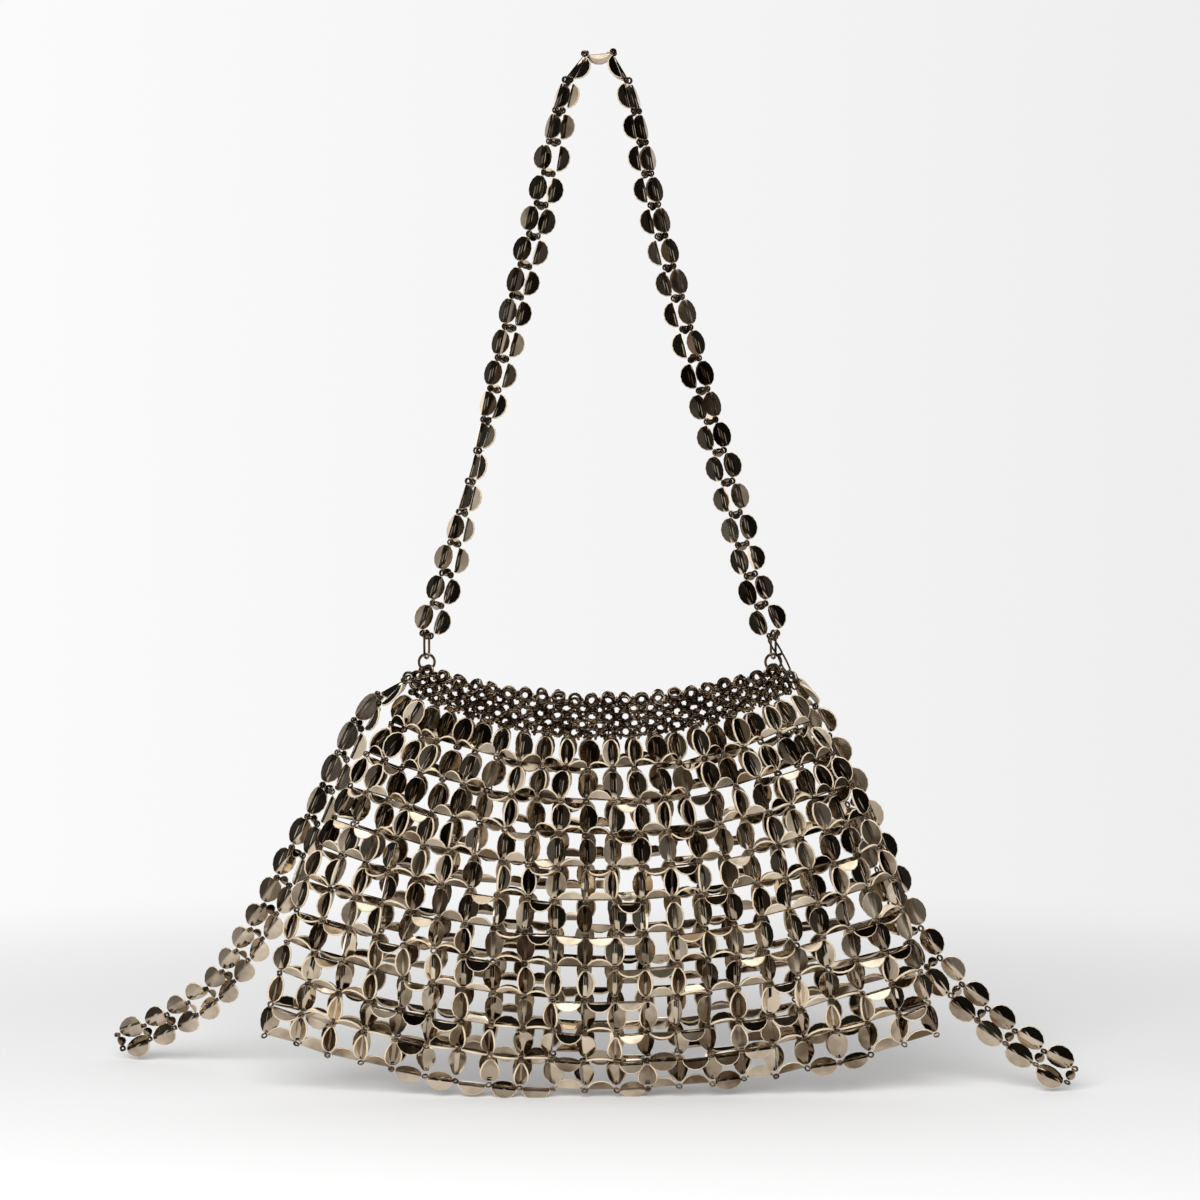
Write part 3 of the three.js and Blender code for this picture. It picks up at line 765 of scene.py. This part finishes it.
# Stations at even steps along a route, each with its place, run, ridge and width directions
def chainStations(points, facings, pitch, overTop=False):
    steps = ladder["lengthSteps"]
    samples = [curvePoint(points, step / steps) for step in range(steps + 1)]
    lengths = [0.0]
    for first, second in zip(samples, samples[1:]):
        lengths.append(lengths[-1] + (second - first).length)
    total = lengths[-1]
    if overTop:                          # a pair of discs lies across the highest point
        top = lengths[max(range(steps + 1), key=lambda index: samples[index].z)]
        left, right = round(top / pitch - 0.5), round((total - top) / pitch - 0.5)
        targets = [top * index / (left + 0.5) for index in range(left + 1)]
        targets += [total - (total - top) * index / (right + 0.5) for index in range(right, -1, -1)]
    else:
        count = round(total / pitch)
        targets = [total * index / count for index in range(count + 1)]
    stations = []
    for target in targets:
        low = min(max(sum(1 for length in lengths if length <= target) - 1, 0), steps - 1)
        share = (low + (target - lengths[low]) / (lengths[low + 1] - lengths[low])) / steps
        ahead = curvePoint(points, share + ladder["nudge"])
        run = (ahead - curvePoint(points, share - ladder["nudge"])).normalized()
        row = share * (len(points) - 1)
        start = min(int(row), len(points) - 2)
        facing = math.radians(mix(facings[start], facings[start + 1], row - start))
        away = run.cross(Vector((0, 1, 0))).normalized()
        toFront = run.cross(away).normalized()
        ridge = away * math.sin(facing) + toFront * math.cos(facing)
        stations.append({
            "place": curvePoint(points, share), "run": run, "ridge": ridge, "width": ridge.cross(run),
        })
    return stations


# The dark look gives the right half of the strap darker tones than the left half and the tails: painted shade
# on one side of the strap.
looks = {
    "pale": {"satinShare": 0.45, "darkness": 0.5},
    "dark": {"satinShare": 0.15, "darkness": 1.0},
}
railDiscs = {kind: foldedDisc(kind + "Disc", ladder[kind + "Fold"]) for kind in ("strap", "tail")}
ladderRing = wireRing("ladderRing", ladder["ringRadius"], ladder["ringWire"], turns=10, sides=6)


# Rings and a rung at each station, and a disc on both rails from each one to the next
def ladderChain(name, stations, chance, kind, look, turn=0.0, ownsFirst=True):
    discPiece, ringPiece = newPiece(), newPiece()
    half = ladder[kind + "Spacing"] / 2
    for station in stations[0 if ownsFirst else 1:]:
        for rail in (-1, 1):
            knot = station["place"] + station["width"] * rail * half * ladder[kind + "Rings"]
            for tilt in ladder["ringTilts"]:
                turned = tilt + chance.uniform(-ladder["ringLean"], ladder["ringLean"])
                facing = Matrix.Rotation(turned, 3, station["run"]) @ station["width"]
                tone = chance.uniform(*ladder["ringTones"])
                addCopy(ringPiece, ladderRing, placed(knot, station["run"], facing), tone)
        tip = Matrix.Rotation(chance.gauss(0, ladder["rungRoll"]), 3, station["width"])
        rung = placed(station["place"], station["width"], tip @ station["ridge"], ladder["rungSize"])
        addCopy(discPiece, railDiscs[kind], rung, chance.uniform(*ladder["rungTones"]))
    for first, second in zip(stations, stations[1:]):
        for rail in (-1, 1):
            start = first["place"] + first["width"] * rail * half
            end = second["place"] + second["width"] * rail * half
            run = (end - start).normalized()
            lean = rail * ladder[kind + "Lean"] + turn + chance.gauss(0, ladder["roll"])
            roll = Matrix.Rotation(lean, 3, run)
            ridge = roll @ (first["ridge"] + second["ridge"])
            length = ((end - start).length - 2 * ladder["neck"]) / folded["diameter"]
            matrix = placed((start + end) / 2, run, ridge, (ladder[kind + "Widening"], length, 1))
            satin = chance.random() if chance.random() < look["satinShare"] else 0.0
            addCopy(discPiece, railDiscs[kind], matrix, chance.random() * look["darkness"], satin)
    finishPiece(name + "_discs", discPiece, champagneMetal, "discs", name)
    finishPiece(name + "_rings", ringPiece, ringMetal, "rings", name)


def makeStrap(chance):
    points = [
        Vector((across * eyes["strapX"], 0, mix(chainEnds["strapTop"], chainEnds["strapEnd"], down)))
        for across, down, _ in strapRoute
    ]
    facings = [row[2] for row in strapRoute]
    stations = chainStations(points, facings, ladder["strapPitch"], overTop=True)
    top = next(index for index, station in enumerate(stations) if station["place"].x > 0)
    turn = ladder["strapTurn"]
    ladderChain("strap_left", stations[:top + 1], chance, "strap", looks["pale"], turn)
    ladderChain("strap_right", stations[top:], chance, "strap", looks["dark"], -turn, ownsFirst=False)


def makeTail(name, side, route, chance):
    start, travel = chainEnds["tailStart"], chainEnds["tailTravel"]
    points = [
        Vector((side * (start.x + out * travel.x), back * travel.y, start.z + down * travel.z))
        for out, back, down, _ in route
    ]
    stations = chainStations(points, [row[3] for row in route], ladder["tailPitch"])
    ladderChain(name, stations, chance, "tail", looks["pale"])


chance = random.Random(ladder["seed"])
makeStrap(chance)
makeTail("tail_left", -1, tailLeftRoute[::-1], chance)
makeTail("tail_right", 1, tailRightRoute, chance)

link = {
    "width": 4.8 * mm,
    "length": 11.6 * mm,
    "wire": 0.5 * mm,
    "centreZ": -223.70 * mm,
    "turn": math.radians(25),
    "tone": 0.2,
}
thinLinks = {                        # beside the right link only
    "radius": 1.15 * mm,
    "wire": 0.42 * mm,
    "stretch": 2.6 * mm,
    "forward": -2.2 * mm,
    "spots": [(66.6, -224.5, 32), (69.9, -230.6, 26), (73.0, -237.2, 24)],   # X and Z in mm, lean in degrees
    "tone": 0.6,
}
ovalLink = wireRing(
    "ovalLink", link["width"] / 2 - link["wire"], link["wire"], turns=20, sides=8,
    stretch=(link["length"] - link["width"]) / 2,
)
thinLink = wireRing(
    "thinLink", thinLinks["radius"], thinLinks["wire"], turns=14, sides=6, stretch=thinLinks["stretch"],
)


def makeLink(name, side):
    piece = newPiece()
    faced = Matrix.Rotation(side * link["turn"], 3, "Z") @ right
    centre = Vector((side * eyes["strapX"], 0, link["centreZ"]))
    addCopy(piece, ovalLink, placed(centre, up, faced), link["tone"])
    if side > 0:
        for x, z, degrees in thinLinks["spots"]:
            lean = math.radians(degrees)
            run = Vector((math.sin(lean), 0, -math.cos(lean)))
            spot = Vector((x * mm, thinLinks["forward"], z * mm))
            addCopy(piece, thinLink, placed(spot, run, front), thinLinks["tone"])
    finishPiece(name + "_wire", piece, ringMetal, "rings", name)


makeLink("link_left", -1)
makeLink("link_right", 1)
print("chains made")


# Floor, light and surroundings

ground = {
    "height": -396.3 * mm,
    "radius": 0.75,
    "sides": 96,
    "roughness": 0.8,
    "tint": 0.8,
    "grain": 0.01,
    "grainSize": 6.0,
    "fadeStart": 0.14,               # from here to its rim it fades into the backdrop
    "glossStart": 0.18,              # in what the metal mirrors it ends sooner
    "glossEnd": 0.33,
}


def makeFloor():
    bm = bmesh.new()
    bmesh.ops.create_circle(bm, cap_ends=True, segments=ground["sides"], radius=ground["radius"])
    bmesh.ops.translate(bm, verts=bm.verts[:], vec=(0, 0, ground["height"]))
    mesh = bpy.data.meshes.new("floor")
    bm.to_mesh(mesh)
    bm.free()
    material = bpy.data.materials.new("paleFloor")
    material.use_nodes = True
    tree = material.node_tree
    shader = tree.nodes["Principled BSDF"]
    shader.inputs["Roughness"].default_value = ground["roughness"]
    shader.inputs["Specular IOR Level"].default_value = 0.0
    place = addNode(tree, "ShaderNodeTexCoord").outputs["Object"]
    grain = addNode(tree, "ShaderNodeTexNoise", {
        "Vector": place, "Scale": ground["grainSize"], "Detail": 2.0,
    }).outputs["Fac"]
    tint = addNode(tree, "ShaderNodeMapRange", {
        "Value": grain,
        "To Min": ground["tint"] - ground["grain"], "To Max": ground["tint"] + ground["grain"],
    })
    tree.links.new(tint.outputs["Result"], shader.inputs["Base Color"])
    level = addNode(tree, "ShaderNodeVectorMath", {0: place, 1: (1, 1, 0)}, operation="MULTIPLY")
    length = addNode(tree, "ShaderNodeVectorMath", {0: level.outputs["Vector"]}, operation="LENGTH")
    distance = length.outputs["Value"]
    faded = eased(tree, distance, ground["fadeStart"], ground["radius"], 1.0, 0.0)
    mirrored = eased(tree, distance, ground["glossStart"], ground["glossEnd"], 1.0, 0.0)
    rays = addNode(tree, "ShaderNodeLightPath")
    shown = addNode(tree, "ShaderNodeMapRange", {
        "Value": rays.outputs["Is Glossy Ray"], "To Min": faded, "To Max": mirrored,
    })
    tree.links.new(shown.outputs["Result"], shader.inputs["Alpha"])
    mesh.materials.append(material)
    floor = bpy.data.objects.new("floor", mesh)
    bpy.context.scene.collection.objects.link(floor)


# What the polished metal sees round it: white strips and dark ones, a dark ceiling and a bright panel in it
surroundings = {
    "ring": [   # share of the circle from the rear over the left, the front and the right, and brightness
        (0.0, 1.6), (0.085, 1.6), (0.09, 0.03), (0.11, 0.03), (0.115, 1.6), (0.15, 1.6), (0.165, 0.08),
        (0.3, 0.02), (0.308, 0.85), (0.33, 0.85), (0.338, 0.02), (0.36, 0.05), (0.4, 0.13),
        (0.44, 0.08), (0.455, 0.01), (0.48, 0.01), (0.488, 0.55), (0.512, 0.55), (0.52, 0.008),
        (0.61, 0.008), (0.642, 0.05), (0.65, 0.7), (0.685, 0.7), (0.693, 0.01), (0.75, 0.02),
        (0.835, 0.08), (0.85, 1.6), (0.885, 1.6), (0.89, 0.03), (0.91, 0.03), (0.915, 1.6),
    ],
    "ringTint": (1, 0.985, 0.96),
    "ceiling": 0.015,
    "ceilingTint": (1, 0.9, 0.8),
    "ceilingStart": 0.3,
    "ceilingEnd": 0.42,
    "overhead": 2.2,
    "overheadTint": (1, 1, 0.98),
    "overheadStart": 0.84,
    "overheadEnd": 0.9,
    "below": 0.02,
    "belowTint": (1, 0.97, 0.93),
    "belowStart": -0.12,
    "belowEnd": -0.35,
    # the backdrop falls from bright on the left to darker on the right: painted shade across it
    "backdropLeft": 0.96,            # what the camera sees, from one side of the picture to the other
    "backdropRight": 0.86,
    "backdropReach": 0.22,
    "soft": 0.55,                    # what lights everything that isn't mirrored
}


def tinted(value, tint):
    return tuple(value * share for share in tint) + (1,)


def makeSurroundings():
    world = bpy.data.worlds.new("studio")
    bpy.context.scene.world = world
    world.use_nodes = True
    tree = world.node_tree
    background = tree.nodes["Background"]
    direction = addNode(tree, "ShaderNodeTexCoord").outputs["Generated"]
    parts = addNode(tree, "ShaderNodeSeparateXYZ", {0: direction})
    toFront = addNode(tree, "ShaderNodeMath", {0: parts.outputs["Y"], 1: -1.0}, operation="MULTIPLY")
    angle = addNode(tree, "ShaderNodeMath", {
        0: parts.outputs["X"], 1: toFront.outputs[0],
    }, operation="ARCTAN2")
    share = addNode(tree, "ShaderNodeMapRange", {
        "Value": angle.outputs[0], "From Min": -math.pi, "From Max": math.pi,
    })
    ring = addNode(tree, "ShaderNodeValToRGB", {"Fac": share.outputs["Result"]})
    stops = ring.color_ramp.elements
    while len(stops) > 1:
        stops.remove(stops[-1])
    for index, (position, value) in enumerate(surroundings["ring"]):
        stop = stops[0] if index == 0 else stops.new(position)
        stop.position = position
        stop.color = tinted(value, surroundings["ringTint"])
    seen = ring.outputs["Color"]
    for zone in ("ceiling", "overhead", "below"):
        start, end = surroundings[zone + "Start"], surroundings[zone + "End"]
        seen = addNode(tree, "ShaderNodeMixRGB", {
            "Fac": eased(tree, parts.outputs["Z"], start, end), "Color1": seen,
            "Color2": tinted(surroundings[zone], surroundings[zone + "Tint"]),
        }).outputs["Color"]
    backdrop = addNode(tree, "ShaderNodeMapRange", {
        "Value": parts.outputs["X"],
        "From Min": -surroundings["backdropReach"], "From Max": surroundings["backdropReach"],
        "To Min": surroundings["backdropLeft"], "To Max": surroundings["backdropRight"],
    })
    rays = addNode(tree, "ShaderNodeLightPath")
    plain = addNode(tree, "ShaderNodeMixRGB", {
        "Fac": rays.outputs["Is Camera Ray"], "Color1": tinted(surroundings["soft"], (1, 1, 1)),
        "Color2": backdrop.outputs["Result"],
    })
    final = addNode(tree, "ShaderNodeMixRGB", {
        "Fac": rays.outputs["Is Glossy Ray"], "Color1": plain.outputs["Color"], "Color2": seen,
    })
    tree.links.new(final.outputs["Color"], background.inputs["Color"])


lamp = {                             # a wide soft lamp above the camera, which the metal doesn't mirror
    "width": 1.1,
    "height": 0.8,
    "place": (-0.25, -1.15, 0.35),
    "aim": (0, 0.05, -0.35),
    "power": 24.0,
}


def makeLamp():
    light = bpy.data.lights.new("softLamp", "AREA")
    light.shape = "RECTANGLE"
    light.size = lamp["width"]
    light.size_y = lamp["height"]
    light.energy = lamp["power"]
    thing = bpy.data.objects.new("softLamp", light)
    thing.location = lamp["place"]
    towards = Vector(lamp["aim"]) - Vector(lamp["place"])
    thing.rotation_euler = towards.to_track_quat("-Z", "Y").to_euler()
    thing.visible_glossy = False
    bpy.context.scene.collection.objects.link(thing)


makeFloor()
makeSurroundings()
makeLamp()
print("studio made")
